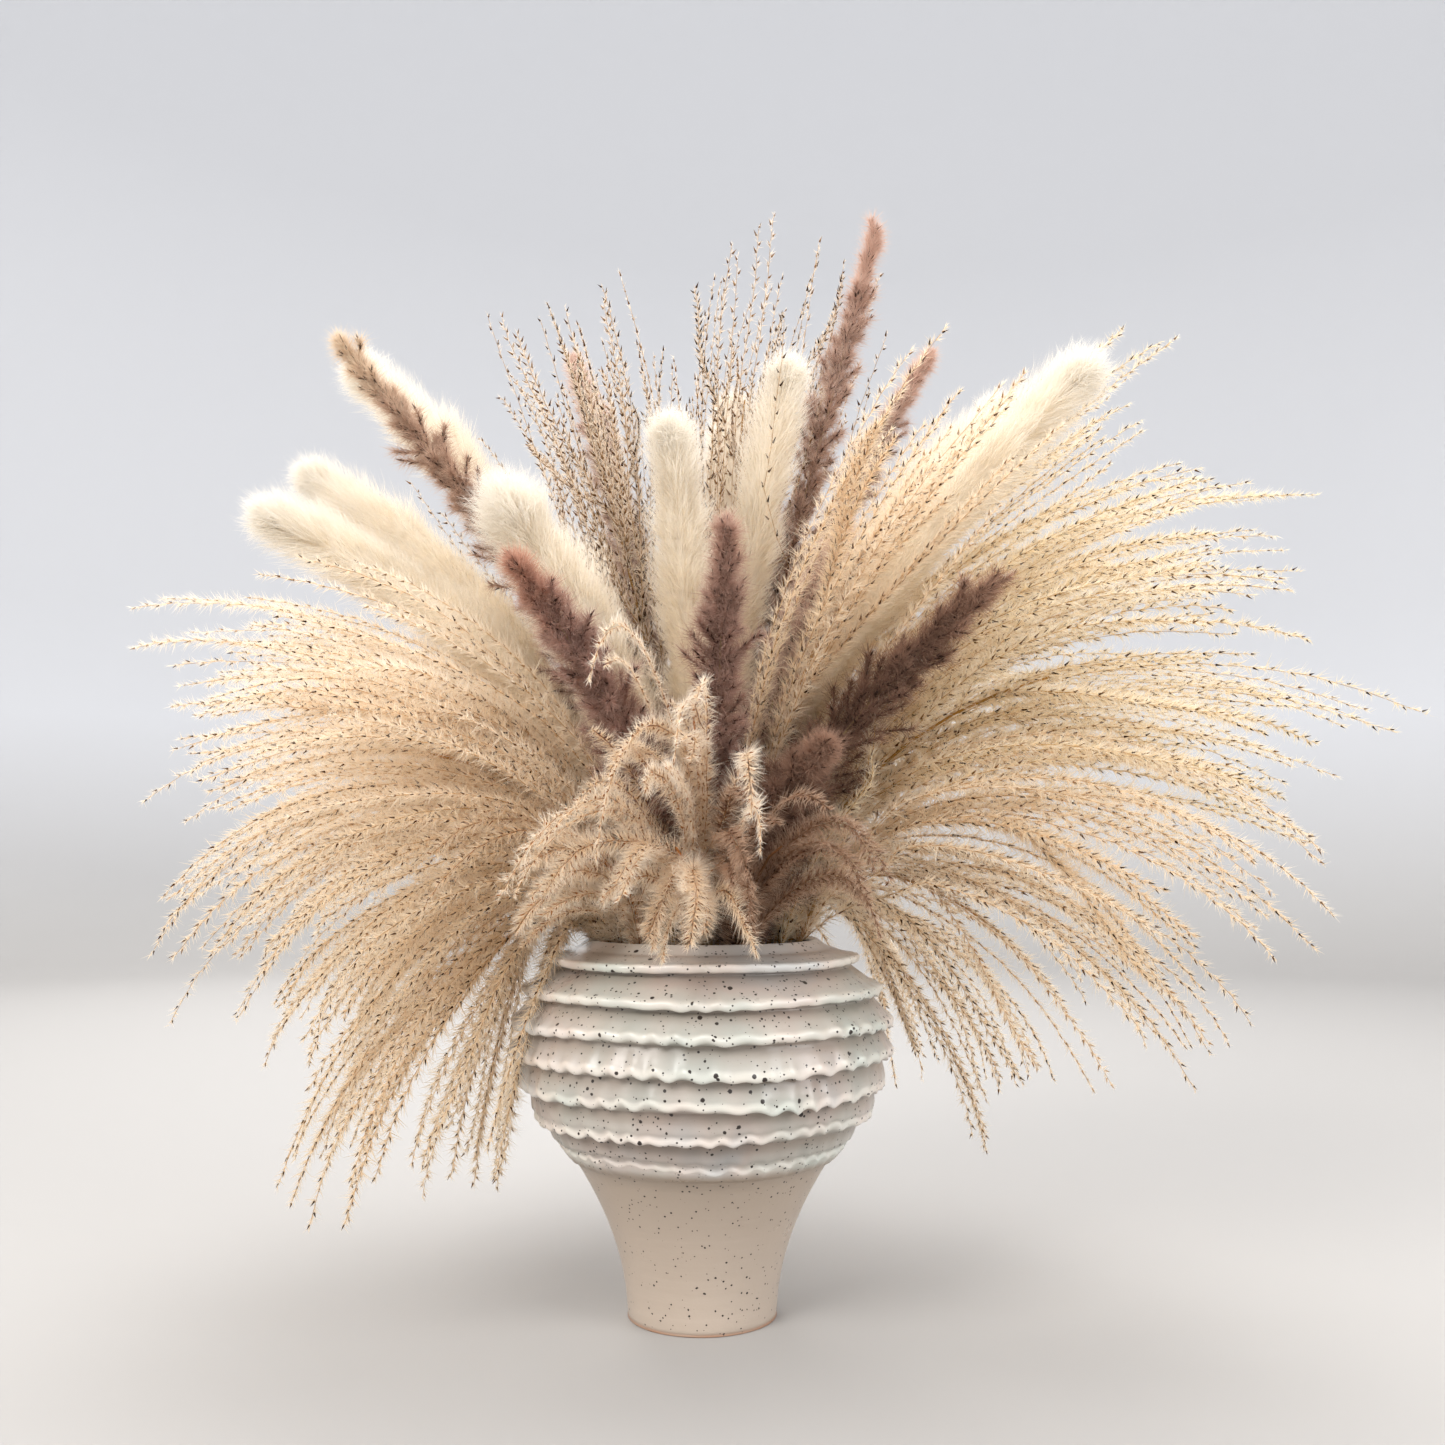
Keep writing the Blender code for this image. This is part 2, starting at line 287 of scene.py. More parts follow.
def husks(rng, roots, headings, long, u, v):
    """Small closed seed husks, each a slim pyramid on its point, as points, triangles and places."""
    side = any_across(rng, headings)
    other = np.cross(headings, side)
    fat = (long * 0.15)[:, None]
    low = roots + headings * (0.22 * long)[:, None]
    thirds = (0, math.tau / 3, 2 * math.tau / 3)
    corners = [low + (side * math.cos(a) + other * math.sin(a)) * fat for a in thirds]
    points = np.stack([*corners, roots + headings * long[:, None]], axis=1)
    one = np.array([[0, 2, 1], [3, 0, 1], [3, 1, 2], [3, 2, 0]])
    faces = (one + (np.arange(len(roots)) * 4)[:, None, None]).reshape(-1, 3)
    places = np.stack([u, v], axis=-1)[:, None] + np.zeros((1, 4, 1))
    return points.reshape(-1, 3), faces, places.reshape(-1, 2)


def any_across(rng, headings):
    """A random direction square to each heading."""
    return unit(np.cross(headings, rng.normal(size=headings.shape)))


def splay(rng, headings, low, high):
    """Headings leaned over by a random angle between low and high degrees, each its own way round."""
    lean = np.radians(rng.uniform(low, high, len(headings)))[:, None]
    return headings * np.cos(lean) + any_across(rng, headings) * np.sin(lean)


def across_line(line, at):
    """The line's direction and its node's wide direction, square to it, at distances along the line."""
    heading = line.heading(at)
    wide = line.value("wide", at)
    return heading, unit(wide - heading * (wide * heading).sum(axis=1)[:, None])


def add_stem(sheaf, line, end):
    """The bare stem from its foot up to a distance along the line, thinning into the head."""
    at = np.linspace(0, end, STEM_STEPS)
    radii = np.asarray(line.value("width", np.minimum(at, head_start(line))))
    radii = np.minimum(radii, radii[0]) * np.linspace(1, 0.35, STEM_STEPS)
    place = np.full((1, STEM_STEPS), STEM_PLACE)
    sheaf.add(*tubes(line.point(at)[None], radii[None], STEM_SIDES, SIDEWAYS, place, at[None] / end))


# ---------------------------------------------------------------- white plumes

WHITE_HAIRS = 9600
WHITE_SPINES = 9000
WHITE_TUFT = 2100
WHITE_LOCKS = 150
LOCK_LENGTH = 0.024
CORE_SIDES, CORE_STEPS = 18, 34


def white_plume(name, finish, seed):
    """A soft, blunt wand: a pale core under locks of fine hair that stand out and lie towards the tip."""
    rng = np.random.default_rng(seed)
    line = read_line(name)
    start = head_start(line)
    start -= 0.3 * (start - mouth_distance(line))
    head = line.length - start
    full = np.asarray(line.carried["width"]).max()
    round_end = 0.95 * full
    sheaf = Sheaf()
    add_stem(sheaf, line, start + 0.5 * head)

    def size_at(share):
        """The plume's half size at shares of the head: it swells early and stays full to a round end."""
        grown = np.interp(share, [0, 0.12, 0.40, 0.74, 0.92, 1.0], [0.14, 0.58, 1.02, 1.12, 0.90, 0.52])
        return full * grown * (1 + 0.09 * np.sin(share * 17 + seed) + 0.06 * np.sin(share * 41 + 2 * seed))

    share = np.linspace(0, 1, CORE_STEPS)
    at = np.linspace(start * 0.985, line.length - round_end, CORE_STEPS)
    radii = 0.55 * size_at(share) * np.clip((1 - share) * 4, 0.10, 1)
    u = along_head(share)[None]
    sheaf.add(*tubes(line.point(at)[None], radii[None], CORE_SIDES, SIDEWAYS, u, 0 * u + 0.35))

    lock_share = rng.uniform(0, 1, WHITE_LOCKS)
    lock_turn = rng.uniform(0, math.tau, WHITE_LOCKS)
    lock_reach = rng.uniform(0.74, 1.28, WHITE_LOCKS)
    lock_shade = rng.normal(0, 0.05, WHITE_LOCKS)
    for count, drawn in ((WHITE_HAIRS, True), (WHITE_SPINES, False)):
        share = rng.uniform(0, 1, count) ** 0.92
        at = start + share * (head - round_end)
        turn = rng.uniform(0, math.tau, count)
        gap_along = (share[:, None] - lock_share) * head / LOCK_LENGTH
        gap_round = np.abs((turn[:, None] - lock_turn + math.pi) % math.tau - math.pi) / 0.8
        nearest = np.argmin(gap_along**2 + gap_round**2, axis=1)
        size = size_at(share)
        heading, wide = across_line(line, at)
        out = wide * np.cos(turn)[:, None] + np.cross(heading, wide) * np.sin(turn)[:, None]
        tangent = np.cross(heading, out)
        root_share = rng.uniform(0.15, 0.60, count)
        lean = np.radians(56 - 20 * share + rng.normal(0, 11, count))
        reach = size * lock_reach[nearest] * (0.78 + 0.62 * rng.uniform(0, 1, count) ** 1.5)
        length = np.clip((reach - root_share * size) / np.sin(lean), 0.007, 0.026)
        aside = tangent * rng.normal(0, 0.2, (count, 1))
        away = unit(heading * np.cos(lean)[:, None] + out * np.sin(lean)[:, None] + aside)
        roots = line.point(at) + out * (root_share * size)[:, None]
        tips = roots + away * length[:, None]
        pull = ((lock_turn[nearest] - turn + math.pi) % math.tau - math.pi) * 0.5
        tips += tangent * (pull * (root_share * size + length * 0.5))[:, None]
        tips += heading * ((lock_share[nearest] - share) * head * 0.2)[:, None]
        across = any_across(rng, away)
        u = along_head(np.clip(share + lock_shade[nearest] + rng.normal(0, 0.02, count), 0.01, 1))
        width = rng.uniform(0.00020, 0.00040, count)
        if drawn:
            bow = (out * 0.9 - heading * 0.5) * (length * rng.uniform(0.0, 0.14, count))[:, None]
            sheaf.add(*blades(roots, tips, across, width, bow, u, (0.3, 1.0)))
        else:
            sheaf.add(*spines(roots, tips, across, width, u, (0.3, 1.0)))

    count = WHITE_TUFT
    at = line.length - full * rng.uniform(0.95, 1.6, count)
    away = splay(rng, line.heading(at), 0, 82)
    roots = line.point(at) + away * (full * rng.uniform(0.1, 0.4, count))[:, None]
    tips = roots + away * (full * rng.uniform(0.6, 1.05, count))[:, None]
    bow = any_across(rng, away) * (full * rng.uniform(0.05, 0.38, count))[:, None]
    u = rng.uniform(0.93, TIP_PLACE, count)
    across = any_across(rng, away)
    width = rng.uniform(0.0002, 0.0004, count)
    sheaf.add(*blades(roots, tips, across, width, bow, u, (0.3, 1.0)))
    return sheaf.piece(f"{name}_fluff", finish, "white_plume", name)


# ---------------------------------------------------------------- brown plumes

BRANCHLETS = 150
BRANCHLET_HAIRS = 240
BRANCHLET_HUSKS = 9
BRANCHLET_STEPS = 5
BRANCHLET_RADIUS = 0.00040
# The husks' band in a brown plume's colours, between its stem's and its head's.
HUSK_BAND, HUSK_BAND_WIDTH = 0.0555, 0.0045


def spots_on(paths, which, spot):
    """Places at shares of the numbered branchlets' lengths, and the directions that they run in there."""
    cell = np.minimum((spot * (BRANCHLET_STEPS - 1)).astype(int), BRANCHLET_STEPS - 2)
    between = (spot * (BRANCHLET_STEPS - 1) - cell)[:, None]
    low, high = paths[which, cell], paths[which, cell + 1]
    return low * (1 - between) + high * between, unit(high - low)


def brown_plume(name, finish, seed, lowered):
    """A feathery plume of short dark branchlets furred with fine hair, lowered by a share towards the mouth."""
    rng = np.random.default_rng(seed)
    line = read_line(name)
    start = head_start(line)
    start -= lowered * (start - mouth_distance(line))
    head = line.length - start
    sheaf = Sheaf()
    add_stem(sheaf, line, start + 0.93 * head)
    count = BRANCHLETS
    share = (np.arange(count) + rng.uniform(-0.4, 0.4, count)) / count
    full = np.asarray(line.carried["width"]).max()
    at = np.clip(start - 0.03 * head + share * (head - 0.8 * full), 0, line.length - 0.004)
    turn = np.arange(count) * GOLDEN_TURN + rng.normal(0, 0.3, count)
    heading, wide = across_line(line, at)
    out = wide * np.cos(turn)[:, None] + np.cross(heading, wide) * np.sin(turn)[:, None]
    lean = np.radians(np.interp(share, [0, 0.6, 1], [46, 38, 14]) + rng.normal(0, 9, count))
    length = np.interp(share, [0, 0.15, 0.7, 1], [0.9, 1.05, 0.95, 0.5]) * full * rng.uniform(0.8, 2.1, count)
    t = np.linspace(0, 1, BRANCHLET_STEPS)
    bend = rng.uniform(-0.10, 0.28, count)
    along = (length * np.cos(lean))[:, None] * t
    aside = (length * np.sin(lean))[:, None] * (t - bend[:, None] * t**2)
    paths = line.point(at)[:, None] + heading[:, None] * along[..., None] + out[:, None] * aside[..., None]
    radii = np.full((count, 1), BRANCHLET_RADIUS) * (1 - 0.75 * t)
    u = along_head(np.clip(share + rng.normal(0, 0.03, count), 0, 1))
    sheaf.add(*tubes(paths, radii, 3, np.cross(heading, out), u[:, None] + 0 * t, 0 * u[:, None] + 0 * t + 0.25))

    many = count * BRANCHLET_HAIRS
    which = np.repeat(np.arange(count), BRANCHLET_HAIRS)
    spot = rng.uniform(0.02, 1.0, many) ** 0.7
    roots, stalk = spots_on(paths, which, spot)
    away = splay(rng, stalk, 10, 80)
    hair = rng.uniform(0.0060, 0.0150, many) * (1 - 0.2 * spot) * (0.7 + 0.3 * full / 0.014)
    tips = roots + away * hair[:, None]
    width = rng.uniform(0.00020, 0.00036, many)
    u_hair = u[which] + rng.normal(0, 0.02, many) + 0.05 * (spot - 0.5)
    u_hair = np.clip(u_hair, HEAD_PLACE + 0.01, TIP_PLACE)
    sheaf.add(*spines(roots, tips, any_across(rng, away), width, u_hair, (0.30, 1.0)))

    many = count * BRANCHLET_HUSKS
    which = np.repeat(np.arange(count), BRANCHLET_HUSKS)
    roots, stalk = spots_on(paths, which, rng.uniform(0.1, 1.0, many))
    away = splay(rng, stalk, 8, 40)
    long = rng.uniform(0.0034, 0.0054, many)
    sheaf.add(*husks(rng, roots, away, long, HUSK_BAND_WIDTH * u[which] + HUSK_BAND, np.full(many, 0.5)))
    return sheaf.piece(f"{name}_fluff", finish, "brown_plume", name)


# ---------------------------------------------------------------- reed heads

SPIKELETS = 42
RACEME_STEPS = 18
RACEME_RADIUS = 0.00028
ZIGZAG = 0.00035


def reed_head(
    name,
    finish,
    seed,
    hairs,
    hair_length,
    spread=1.5,
    droop=1.0,
    husk=1.0,
    racemes=30,
    cone=(12, 60),
    reach=(0.66, 0.95),
    hair_width=(0.00030, 0.00050),
    tuft_lean=(18, 38),
):
    """A panicle of long thin racemes: zigzag stalks that carry small seed husks, each with a tuft of silky hair."""
    rng = np.random.default_rng(seed)
    line = read_line(name)
    start = head_start(line)
    head = line.length - start
    mouth = mouth_distance(line)
    sheaf = Sheaf()
    add_stem(sheaf, line, start + 0.45 * head)

    count, steps = racemes, RACEME_STEPS
    t = np.linspace(0, 1, steps)
    begin = mouth - 0.006 + (start + 0.38 * head - mouth) * np.clip(rng.uniform(-0.45, 1, count), 0, 1) ** 1.2
    finish_at = start + head * rng.uniform(*reach, count)
    at = begin[:, None] + (finish_at - begin)[:, None] * t
    clipped = np.minimum(at, line.length)
    heading = line.heading(clipped.ravel()).reshape(count, steps, 3)
    base = line.point(clipped.ravel()).reshape(count, steps, 3) + heading * (at - clipped)[..., None]
    wide = line.value("wide", clipped.ravel()).reshape(count, steps, 3)
    wide = unit(wide - heading * (wide * heading).sum(axis=-1, keepdims=True))
    thin = np.cross(heading, wide)
    full = np.asarray(line.carried["width"]).max()
    reach_wide = rng.uniform(-1, 1, count) * full * spread
    reach_thin = rng.uniform(-1, 1, count) * full * spread * 0.9
    opening = (1 - (1 - t) ** 1.7) * (1 + 0.15 * t)
    weave = 0.0016 * np.sin(rng.uniform(0, math.tau, count)[:, None] + t * rng.uniform(5, 11, count)[:, None]) * t
    paths = base + wide * (reach_wide[:, None] * opening + weave)[..., None]
    paths = paths + thin * (reach_thin[:, None] * opening + weave)[..., None]
    fall = droop * rng.uniform(0.0, 0.016, count)[:, None] * t**2.2
    paths[..., 2] -= fall

    fine = SPIKELETS + 1
    place = np.linspace(0, steps - 1, fine)
    cell = np.minimum(place.astype(int), steps - 2)
    between = (place - cell)[:, None]
    rachis = paths[:, cell] * (1 - between) + paths[:, cell + 1] * between
    stalk = unit(np.gradient(rachis, axis=1))
    tilt = rng.normal(size=(count, 3))
    aside = unit(np.cross(stalk, tilt[:, None]))
    sign = np.where(np.arange(fine) % 2 == 0, 1.0, -1.0)[:, None]
    rachis = rachis + aside * sign * ZIGZAG
    shade = rng.uniform(-1, 1, count)
    radii = np.full((count, 1), RACEME_RADIUS) * np.linspace(1, 0.45, fine)
    u = STALK_PLACE + BAND_SPREAD * shade[:, None] + np.zeros((1, fine))
    v = np.zeros((count, 1)) + np.linspace(0, 1, fine)
    sheaf.add(*tubes(rachis[:, ::3], radii[:, ::3], 3, tilt, u[:, ::3], v[:, ::3]))

    roots = rachis[:, 1:].reshape(-1, 3)
    stalks = stalk[:, 1:].reshape(-1, 3)
    asides = (aside * sign)[:, 1:].reshape(-1, 3)
    number = len(roots)
    share = v[:, 1:].ravel()
    shades = np.repeat(shade, SPIKELETS)
    lean = np.radians(rng.uniform(*tuft_lean, number))[:, None]
    point_to = unit(stalks * np.cos(lean) + asides * np.sin(lean) + rng.normal(0, 0.08, (number, 3)))
    long = rng.uniform(0.0042, 0.0060, number) * husk * (1 - 0.25 * share)
    u = HUSK_PLACE + BAND_SPREAD * shades + rng.uniform(-0.04, 0.04, number)
    sheaf.add(*husks(rng, roots, point_to, long, u, share))

    which = np.repeat(np.arange(number), hairs)
    spacing = np.repeat(np.linalg.norm(np.diff(rachis, axis=1), axis=2)[:, -1], SPIKELETS)
    slide = rng.uniform(-0.5, 0.5, len(which)) * spacing[which]
    roots = roots[which] + stalks[which] * slide[:, None]
    away = splay(rng, point_to[which], *cone)
    hair = rng.uniform(0.6, 1.2, len(which)) * hair_length
    hair = hair * (1 - 0.3 * share[which] - 0.35 * share[which] ** 8)
    tips = roots + away * hair[:, None]
    width = rng.uniform(*hair_width, len(which))
    u = SILK_PLACE + BAND_SPREAD * shades[which] + rng.uniform(-0.05, 0.05, len(which))
    sheaf.add(*spines(roots, tips, any_across(rng, away), width, u, (0.0, 1.0)))
    return sheaf.piece(f"{name}_silk", finish, "reed_grass", name)


# ---------------------------------------------------------------- vase

VASE_SIDES = 330
VASE_SEED = 12
RIB_WAVES = (40, 44, 42, 46, 42, 38, 36)
RIB_STRENGTH = (1.0, 1.05, 1.1, 1.05, 0.95, 0.70, 0.45)


def vase_rows():
    """The vase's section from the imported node: radius, height, rib number or -1, and share of the rib's wave."""
    rings = rings_of("vase", lambda points: points[:, 2] < 1e-5)
    radii = [np.hypot(r[:, 0], r[:, 1]) for r in rings]
    heights = [r[:, 2].mean() for r in rings]
    edges = [k for k, radius in enumerate(radii) if np.ptp(radius) > 0.0005]
    radii = [radius.mean() for radius in radii]
    rows = [(radii[k], heights[k], -1, 0.0) for k in range(edges[0])]
    for rib, k in enumerate(edges):
        root, low = radii[k - 1], heights[k - 1]
        edge, high = radii[k], heights[k]
        depth = edge - root
        if rib:
            rows.append((root, low, rib, 0.15))
        rows.append((root + 0.42 * depth, low + 0.25 * (high - low), rib, 0.55))
        rows.append((edge - 0.16 * depth, high - 0.0016, rib, 0.97))
        rows.append((edge, high - 0.0001, rib, 1.0))
        rows.append((edge - 0.04 * depth, high + 0.0022, rib, 0.92))
        if rib < len(edges) - 1:
            next_root, top = radii[edges[rib + 1] - 1], heights[edges[rib + 1] - 1]
            for share, stand, wave in ((0.32, 0.78, 0.62), (0.56, 0.50, 0.34), (0.80, 0.20, 0.16)):
                line_radius = root + (next_root - root) * share
                rows.append((line_radius + stand * depth, high + (top - high) * share, rib, wave))
    last = edges[-1] + 2
    lip = radii[last], heights[last]
    rows.append(((2 * edge + lip[0]) / 3 - 0.0004, (2 * high + lip[1]) / 3 + 0.0008, len(edges) - 1, 0.5))
    rows.append(((edge + 2 * lip[0]) / 3, (high + 2 * lip[1]) / 3 + 0.0004, len(edges) - 1, 0.3))
    rows += [(radii[k], heights[k], -1, 0.0) for k in range(last, len(rings))]
    return rounded([(0.0, 0.0, -1, 0.0), *rows, (0.0, rows[-1][1], -1, 0.0)])


def rounded(rows):
    """Twice as many rows, with each new one on a smooth curve through its four neighbours."""
    rows = np.array(rows, float)
    made = [rows[0]]
    for k in range(len(rows) - 1):
        before, after = rows[max(k - 1, 0)], rows[min(k + 2, len(rows) - 1)]
        between = (rows[k] + rows[k + 1]) / 2
        if 0 < k < len(rows) - 2:
            between += (rows[k] + rows[k + 1] - before - after) / 18
        between[2] = rows[k][2]
        made += [between, rows[k + 1]]
    return np.array(made)


def make_vase(finish):
    """Drawn up ring by ring from the foot, over the ribs and down inside, then its ribs are pinched into waves."""
    table = vase_rows()
    bpy.ops.object.select_all(action="DESELECT")
    bpy.ops.mesh.primitive_plane_add(size=0.002, location=(0, 0, 0))
    vase = bpy.context.object
    vase.name = "stoneware_vase"
    bpy.ops.object.mode_set(mode="EDIT")
    bpy.ops.mesh.select_mode(type="VERT")
    bpy.ops.mesh.select_all(action="SELECT")
    bpy.ops.mesh.merge(type="CENTER")
    for out, up in np.diff(table[:, :2], axis=0):
        bpy.ops.mesh.extrude_vertices_move(TRANSFORM_OT_translate={"value": (out, 0, up)})
    bpy.ops.mesh.select_all(action="SELECT")
    bpy.ops.mesh.spin(steps=VASE_SIDES, angle=math.tau, center=(0, 0, 0), axis=(0, 0, 1))
    bpy.ops.mesh.select_all(action="SELECT")
    bpy.ops.mesh.remove_doubles(threshold=0.00002)
    bpy.ops.mesh.normals_make_consistent(inside=False)
    bpy.ops.object.mode_set(mode="OBJECT")

    rng = np.random.default_rng(VASE_SEED)
    mesh = vase.data
    points = np.empty(len(mesh.vertices) * 3)
    mesh.vertices.foreach_get("co", points)
    points = points.reshape(-1, 3)
    radius = np.hypot(points[:, 0], points[:, 1])
    nearest = np.argmin(np.abs(radius[:, None] - table[:, 0]) + np.abs(points[:, 2:] - table[:, 1]), axis=1)
    row = table[nearest]
    share = row[:, 3]
    angle = np.arctan2(points[:, 1], points[:, 0])
    push = np.zeros(len(points))
    lift = np.zeros(len(points))
    for rib, (waves, strength) in enumerate(zip(RIB_WAVES, RIB_STRENGTH)):
        a = rng.uniform(0, math.tau, 9)
        turn = waves * angle + 1.3 * np.sin(3 * angle + a[0]) + 1.0 * np.sin(7 * angle + a[1])
        turn += 0.7 * np.sin(11 * angle + a[2])
        size = 0.66 + 0.22 * np.sin(5 * angle + a[3]) + 0.18 * np.sin(9 * angle + a[4])
        wave = np.sin(turn) + 0.28 * np.sin(round(1.62 * waves) * angle + a[5])
        here = share * strength * (row[:, 2] == rib)
        push += here * (0.00115 * size * wave + 0.0006 * np.sin(4 * angle + a[6]))
        lift += here**2 * (0.00150 * size * np.sin(turn + 0.9) + 0.0009 * np.sin(2 * angle + a[7]))
        lift += here * 0.0007 * np.sin(5 * angle + a[8])
    points[:, :2] *= (1 + push / np.maximum(radius, 1e-9))[:, None]
    points[:, 2] += lift
    mesh.vertices.foreach_set("co", points.ravel())
    # The crest share also drives the glaze's painted shade in the rib hollows and its painted highlight on the crests.
    crest = mesh.attributes.new("crest", "FLOAT", "POINT")
    crest.data.foreach_set("value", np.where(row[:, 2] >= 0, share, 0.45))
    mesh.update()

    bpy.ops.object.select_all(action="DESELECT")
    vase.select_set(True)
    bpy.context.view_layer.objects.active = vase
    bpy.ops.object.shade_smooth()
    mesh.materials.append(finish)
    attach(vase, "root")
    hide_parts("vase")
    return vase


# ---------------------------------------------------------------- finishes

# The share of light that each kind of fluff lets through.
WHITE_THROUGH, BROWN_THROUGH, REED_THROUGH = 0.50, 0.42, 0.68
# Where the glaze ends, and how sharply, by height on the vase.
GLAZE_LINE, GLAZE_EDGE = 0.0865, 260.0


def paint(code):
    """A hex colour as the linear red, green, blue, alpha that a shader takes."""
    parts = [int(code[k : k + 2], 16) / 255 for k in (1, 3, 5)]
    return (*((c / 12.92 if c <= 0.04045 else ((c + 0.055) / 1.055) ** 2.4) for c in parts), 1.0)


class Finish:
    """A node material under construction."""

    def __init__(self, name):
        self.material = bpy.data.materials.new(name)
        self.material.use_nodes = True
        self.nodes = self.material.node_tree.nodes
        self.shader = self.nodes["Principled BSDF"]
        self.output = self.nodes["Material Output"]

    def node(self, kind, **settings):
        """Adds a node. Settings name its properties, or its inputs by number as in0, in1."""
        made = self.nodes.new(kind)
        for key, value in settings.items():
            if key.startswith("in") and key[2:].isdigit():
                made.inputs[int(key[2:])].default_value = value
            else:
                setattr(made, key, value)
        return made

    def link(self, outlet, inlet):
        """Joins two sockets."""
        self.material.node_tree.links.new(outlet, inlet)

    def math(self, operation, first, second=0.5, third=0.5, clamp=False):
        """A sum on sockets or numbers."""
        made = self.node("ShaderNodeMath", operation=operation, use_clamp=clamp)
        for k, value in enumerate((first, second, third)):
            if isinstance(value, bpy.types.NodeSocket):
                self.link(value, made.inputs[k])
            else:
                made.inputs[k].default_value = value
        return made.outputs[0]

    def ramp(self, factor, stops):
        """Colours along a factor, from (place, hex code) stops."""
        made = self.node("ShaderNodeValToRGB")
        bar = made.color_ramp.elements
        while len(bar) < len(stops):
            bar.new(0.5)
        for stop, (place, code) in zip(bar, stops):
            stop.position = place
            stop.color = paint(code)
        self.link(factor, made.inputs[0])
        return made.outputs[0]

    def mix(self, factor, first, second, blend_type="MIX"):
        """Two colours mixed by a factor. A colour is a socket or a hex code."""
        made = self.node("ShaderNodeMix", data_type="RGBA", blend_type=blend_type)
        for value, inlet in ((factor, made.inputs[0]), (first, made.inputs[6]), (second, made.inputs[7])):
            if isinstance(value, bpy.types.NodeSocket):
                self.link(value, inlet)
            else:
                inlet.default_value = paint(value) if isinstance(value, str) else value
        return made.outputs[2]

    def noise(self, vector, scale, detail=3.0, roughness=0.5):
        """Soft noise around a half on a vector socket."""
        made = self.node("ShaderNodeTexNoise")
        self.link(vector, made.inputs["Vector"])
        made.inputs["Scale"].default_value = scale
        made.inputs["Detail"].default_value = detail
        made.inputs["Roughness"].default_value = roughness
        return made.outputs[0]


def soft_finish(name, roots, tips, share_through):
    """Dry plant fluff that lets light through. Colours run along the piece (u) and from root to tip (v)."""
    made = Finish(name)
    place = made.node("ShaderNodeUVMap", uv_map="OFBake").outputs[0]
    split = made.node("ShaderNodeSeparateXYZ")
    made.link(place, split.inputs[0])
    along, out = split.outputs[0], split.outputs[1]
    colour = made.mix(out, made.ramp(along, roots), made.ramp(along, tips))
    mottle = made.noise(place, 46.0)
    strength = made.math("MULTIPLY_ADD", mottle, 0.36, 0.82)
    grey = made.node("ShaderNodeCombineColor")
    for k in range(3):
        made.link(strength, grey.inputs[k])
    colour = made.mix(1.0, colour, grey.outputs[0], "MULTIPLY")
    made.link(colour, made.shader.inputs["Base Color"])
    made.shader.inputs["Roughness"].default_value = 0.85
    made.shader.inputs["Specular IOR Level"].default_value = 0.18
    through = made.node("ShaderNodeBsdfTranslucent")
    made.link(colour, through.inputs["Color"])
    both = made.node("ShaderNodeMixShader", in0=share_through)
    made.link(made.shader.outputs[0], both.inputs[1])
    made.link(through.outputs[0], both.inputs[2])
    made.link(both.outputs[0], made.output.inputs["Surface"])
    return made.material


def reed_finish(name, stalk, husk, silk_root, silk_tip):
    """Reed grass: stalks, husks and silk each have a third of u, running from darker to lighter strands."""
    shared = [(0.04, stalk[0]), (0.28, stalk[1]), (0.38, husk[0]), (0.50, husk[1]), (0.60, husk[2])]
    root_stops = [*shared, (0.72, silk_root[0]), (0.96, silk_root[1])]
    tip_stops = [*shared, (0.72, silk_tip[0]), (0.96, silk_tip[1])]
    return soft_finish(name, root_stops, tip_stops, REED_THROUGH)


